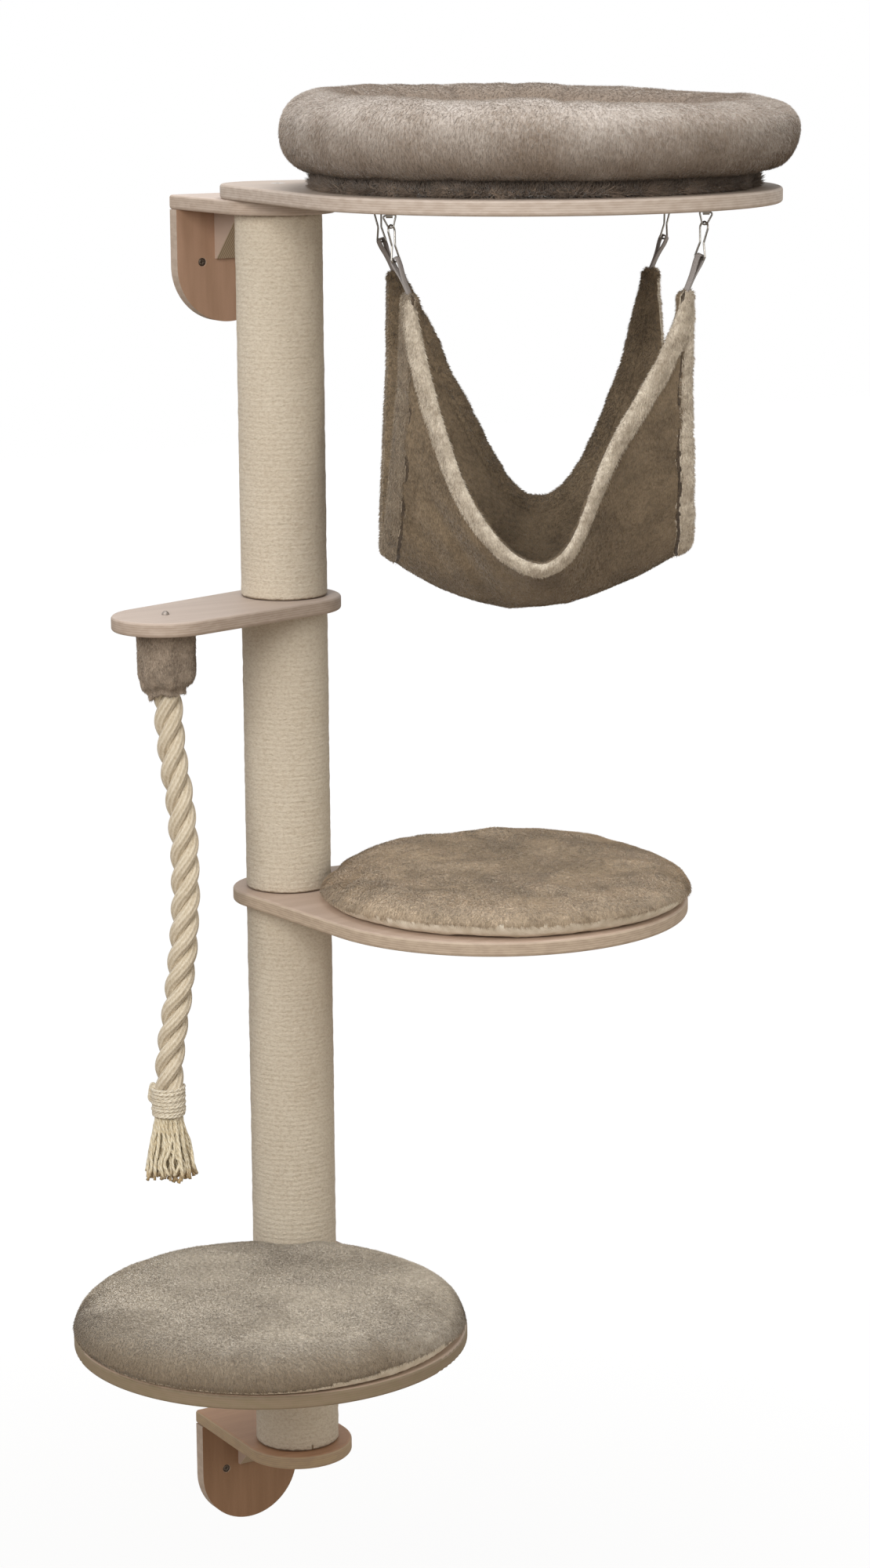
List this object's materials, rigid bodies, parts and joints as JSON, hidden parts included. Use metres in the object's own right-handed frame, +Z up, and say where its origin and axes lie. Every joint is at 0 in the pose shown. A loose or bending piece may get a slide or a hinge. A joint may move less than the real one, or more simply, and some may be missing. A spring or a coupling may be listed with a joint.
{
  "type": "wall mounted cat tree",
  "caption": "Wall-held climbing post for cats: sisal post on wooden wall brackets with tear-drop cushioned shelves, a round bed, a hanging hammock and a rope toy.",
  "frame": {"origin": "midway between the wall screw holes of the lower wall bracket, on the wall face", "axes": "+Z up, +Y into the wall, +X to the right of someone who faces the wall"},
  "size_m": [0.9624, 0.7849, 2.017],
  "materials": {
    "plywood": "clear matt lacquer",
    "beech": "plain",
    "core_board": "spiral-wound board",
    "sisal": "woven matt",
    "zinc_steel": "zinc plated",
    "bright_wire": "polished",
    "taupe_fur": "short pile",
    "hammock_fur": "short pile",
    "hem_fur": "short pile",
    "grey_webbing": "woven",
    "cotton_rope": "twisted",
    "whipping_twine": "tight winding",
    "loose_fibre": "loose strands"
  },
  "bodies": {
    "tree": {"lower_bracket_board": "plywood", "lower_wall_plate": "plywood", "lower_gusset": "plywood", "lower_dowels": "beech", "lower_gusset_screws": "zinc_steel", "upper_bracket_board": "plywood", "upper_wall_plate": "plywood", "upper_gusset": "plywood", "upper_dowels": "beech", "upper_gusset_screws": "zinc_steel", "post_tube_1": "core_board", "post_tube_2": "core_board", "post_tube_3": "core_board", "post_tube_4": "core_board", "sisal_cover_1": "sisal", "sisal_cover_2": "sisal", "sisal_cover_3": "sisal", "sisal_cover_4": "sisal", "tube_end_discs": "beech", "threaded_inserts": "zinc_steel", "joining_studs": "zinc_steel", "end_bolts": "zinc_steel", "low_shelf": "plywood", "mid_shelf": "plywood", "rope_board": "plywood", "top_shelf": "plywood", "low_cushion": "taupe_fur", "mid_cushion": "taupe_fur", "bed_base": "taupe_fur", "bed_bolster": "taupe_fur", "bed_cushion": "taupe_fur", "rope_anchor_block": "beech", "rope_anchor_screw": "zinc_steel", "rope_cuff": "taupe_fur", "hanger_screws": "zinc_steel", "front_left_hanger_plate": "zinc_steel", "front_right_hanger_plate": "zinc_steel", "rear_right_hanger_plate": "zinc_steel", "rear_left_hanger_plate": "zinc_steel"},
    "front_left_hanger": {"front_left_ring": "bright_wire", "front_left_hook": "bright_wire"},
    "front_right_hanger": {"front_right_ring": "bright_wire", "front_right_hook": "bright_wire"},
    "rear_right_hanger": {"rear_right_ring": "bright_wire", "rear_right_hook": "bright_wire"},
    "rear_left_hanger": {"rear_left_ring": "bright_wire", "rear_left_hook": "bright_wire"},
    "hammock": {"hammock_cloth": "hammock_fur", "hammock_hem": "hem_fur", "front_left_webbing": "grey_webbing", "front_right_webbing": "grey_webbing", "rear_right_webbing": "grey_webbing", "rear_left_webbing": "grey_webbing"},
    "rope_toy": {"rope": "cotton_rope", "rope_whipping": "whipping_twine", "rope_tassel": "loose_fibre"}
  },
  "joints": [
    {"name": "hammock_swing", "type": "hinge", "parent": "tree", "child": "front_left_hanger", "pos_m": [-0.04924, -0.53234, 1.7865], "axis": [0.887, -0.4617, 0], "range_deg": [-30, 30]},
    {"name": "hammock_carry", "type": "hinge", "parent": "front_left_hanger", "child": "hammock", "pos_m": [-0.04268, -0.53575, 1.73108], "axis": [0.887, -0.4617, 0], "range_deg": [-30, 30]},
    {"name": "front_right_swing", "type": "hinge", "parent": "tree", "child": "front_right_hanger", "pos_m": [0.29137, -0.70965, 1.7865], "axis": [0.887, -0.4617, 0], "range_deg": [-30, 30]},
    {"name": "rear_right_swing", "type": "hinge", "parent": "tree", "child": "rear_right_hanger", "pos_m": [0.46222, -0.38145, 1.7865], "axis": [0.887, -0.4617, 0], "range_deg": [-30, 30]},
    {"name": "rear_left_swing", "type": "hinge", "parent": "tree", "child": "rear_left_hanger", "pos_m": [0.12161, -0.20414, 1.7865], "axis": [0.887, -0.4617, 0], "range_deg": [-30, 30]},
    {"name": "rope_swing", "type": "hinge", "parent": "tree", "child": "rope_toy", "pos_m": [-0.20571, -0.22099, 1.172], "axis": [0, 1, 0], "range_deg": [-7, 30], "deforming": ["rope_cuff"]}
  ],
  "couplings": [
    {"joint": "hammock_carry", "follows": "hammock_swing", "ratio": -1},
    {"joint": "front_right_swing", "follows": "hammock_swing", "ratio": 1},
    {"joint": "rear_right_swing", "follows": "hammock_swing", "ratio": 1},
    {"joint": "rear_left_swing", "follows": "hammock_swing", "ratio": 1}
  ]
}
